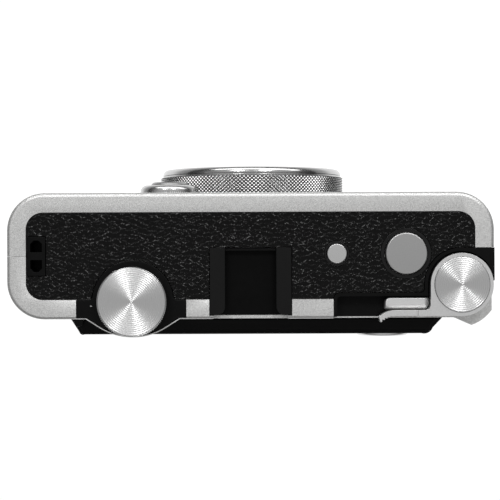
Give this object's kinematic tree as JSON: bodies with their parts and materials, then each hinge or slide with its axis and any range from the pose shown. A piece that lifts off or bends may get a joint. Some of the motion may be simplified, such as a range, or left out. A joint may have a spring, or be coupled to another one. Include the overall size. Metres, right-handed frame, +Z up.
{
  "type": "instant film camera",
  "caption": "Compact instant-film camera styled like a rangefinder: leather-wrapped body, effect dial, print lever, accessory shoe and ringed lens.",
  "frame": {"origin": "middle of the flat base, at half the width and half the depth of the body without lens and door", "axes": "+X along the width towards the effect dial, -Y towards the lens, +Y towards the film door, +Z up"},
  "size_m": [0.123, 0.046, 0.0916],
  "materials": {
    "silver_paint": "satin silver paint with a fine metallic grain",
    "leatherette": "black pebbled leatherette",
    "black_plastic": "matt black moulding",
    "spun_metal": "circular-turned aluminium",
    "satin_metal": "satin anodised aluminium",
    "knurled_metal": "knurled aluminium",
    "bright_metal": "polished aluminium",
    "steel": "bare steel",
    "brass": "plain brass",
    "circuit_board": "green circuit board",
    "battery_wrap": "dark wrapped cell",
    "film_sheet": "instant film sheets",
    "clear_glass": "coated clear glass",
    "screen_glass": "black-backed display glass",
    "mirror_finish": "bright mirror",
    "flash_lens": "ribbed clear plastic",
    "rubber_black": "black rubber"
  },
  "bodies": {
    "camera": {"front_cover": "silver_paint", "rear_cover": "silver_paint", "front_leather": "leatherette", "rear_leather": "leatherette", "top_leather": "leatherette", "bottom_plate": "black_plastic", "top_panel": "black_plastic", "strap_lug": "black_plastic", "accessory_shoe": "black_plastic", "dial_escutcheon": "black_plastic", "lever_escutcheon": "black_plastic", "button_collars": "black_plastic", "chassis": "black_plastic", "film_pack": "black_plastic", "lens_baffle": "black_plastic", "lens_barrel": "black_plastic", "film_exit_bezel": "black_plastic", "print_head": "black_plastic", "lever_rest": "satin_metal", "front_button_base": "satin_metal", "lens_base": "satin_metal", "flash_reflector": "bright_metal", "base_screws": "steel", "shutter_spring": "steel", "hinge_brackets": "steel", "film_motor": "steel", "tripod_socket": "brass", "main_board": "circuit_board", "top_board": "circuit_board", "sensor_board": "circuit_board", "battery": "battery_wrap", "film_stack": "film_sheet", "lens_cover_glass": "clear_glass", "lens_elements": "clear_glass", "flash_tube": "clear_glass", "selfie_mirror": "mirror_finish", "flash_window": "flash_lens"},
    "dial": {"effect_dial": "knurled_metal", "dial_cap": "spun_metal", "dial_shaft": "steel"},
    "lens_control": {"lens_dial": "knurled_metal", "lens_bezel": "bright_metal"},
    "lever": {"print_lever": "satin_metal", "lever_cap": "spun_metal", "lever_shaft": "steel"},
    "shutter": {"shutter_button": "satin_metal"},
    "power": {"power_button": "satin_metal"},
    "front_release": {"front_button": "satin_metal"},
    "door": {"film_door": "black_plastic", "door_leather": "leatherette", "lcd_glass": "screen_glass", "lcd_module": "black_plastic"},
    "play": {"play_button": "black_plastic"},
    "navigation": {"nav_pad": "satin_metal"},
    "back": {"back_button": "black_plastic"},
    "latch": {"door_latch": "black_plastic"},
    "idler": {"idler_gear": "film_sheet"},
    "roller_front": {"front_roller": "rubber_black"},
    "roller_rear": {"rear_roller": "rubber_black"},
    "pinion": {"motor_pinion": "steel"}
  },
  "joints": [
    {"name": "dial_turn", "type": "hinge", "parent": "camera", "child": "dial", "pos_m": [0.0297, 0.01145, 0.088], "axis": [0, 0, 1], "continuous": true},
    {"name": "lens_turn", "type": "hinge", "parent": "camera", "child": "lens_control", "pos_m": [-0.00045, -0.0195, 0.0415], "axis": [0, 1, 0], "continuous": true},
    {"name": "lever_swing", "type": "hinge", "parent": "camera", "child": "lever", "pos_m": [-0.0531, 0.00745, 0.086], "axis": [0, 0, 1], "range_deg": [0, 60], "stiffness_Nm_per_rad": 0.02},
    {"name": "shutter_press", "type": "slide", "parent": "camera", "child": "shutter", "axis": [0, 0, -1], "range_m": [0, 0.0012], "stiffness_N_per_m": 900, "deforming": ["shutter_spring"]},
    {"name": "power_press", "type": "slide", "parent": "camera", "child": "power", "axis": [0, 0, -1], "range_m": [0, 0.0006], "stiffness_N_per_m": 1500},
    {"name": "front_release_press", "type": "slide", "parent": "camera", "child": "front_release", "axis": [0, 1, 0], "range_m": [0, 0.0008], "stiffness_N_per_m": 1200},
    {"name": "door_swing", "type": "hinge", "parent": "camera", "child": "door", "pos_m": [0.0446, 0.0172, 0.0416], "axis": [0, 0, 1], "range_deg": [-100, 0]},
    {"name": "play_press", "type": "slide", "parent": "door", "child": "play", "axis": [0, -1, 0], "range_m": [0, 0.0005], "stiffness_N_per_m": 1500},
    {"name": "navigation_press", "type": "slide", "parent": "door", "child": "navigation", "axis": [0, -1, 0], "range_m": [0, 0.0005], "stiffness_N_per_m": 1500},
    {"name": "back_press", "type": "slide", "parent": "door", "child": "back", "axis": [0, -1, 0], "range_m": [0, 0.0005], "stiffness_N_per_m": 1500},
    {"name": "latch_slide", "type": "slide", "parent": "camera", "child": "latch", "axis": [0, 0, -1], "range_m": [0, 0.0035], "stiffness_N_per_m": 150},
    {"name": "idler_spin", "type": "hinge", "parent": "camera", "child": "idler", "pos_m": [0.0505, -0.00696, 0.075], "axis": [0, 0, 1], "continuous": true},
    {"name": "front_roller_spin", "type": "hinge", "parent": "camera", "child": "roller_front", "pos_m": [0.0524, 0.00045, 0.075], "axis": [0, 0, 1], "continuous": true},
    {"name": "rear_roller_spin", "type": "hinge", "parent": "camera", "child": "roller_rear", "pos_m": [0.0524, 0.00555, 0.075], "axis": [0, 0, 1], "continuous": true},
    {"name": "pinion_spin", "type": "hinge", "parent": "camera", "child": "pinion", "pos_m": [0.0429, -0.00789, 0.075], "axis": [0, 0, 1], "continuous": true}
  ],
  "couplings": [
    {"joint": "rear_roller_spin", "follows": "front_roller_spin", "ratio": -1},
    {"joint": "idler_spin", "follows": "front_roller_spin", "ratio": -0.5},
    {"joint": "pinion_spin", "follows": "front_roller_spin", "ratio": 1}
  ]
}
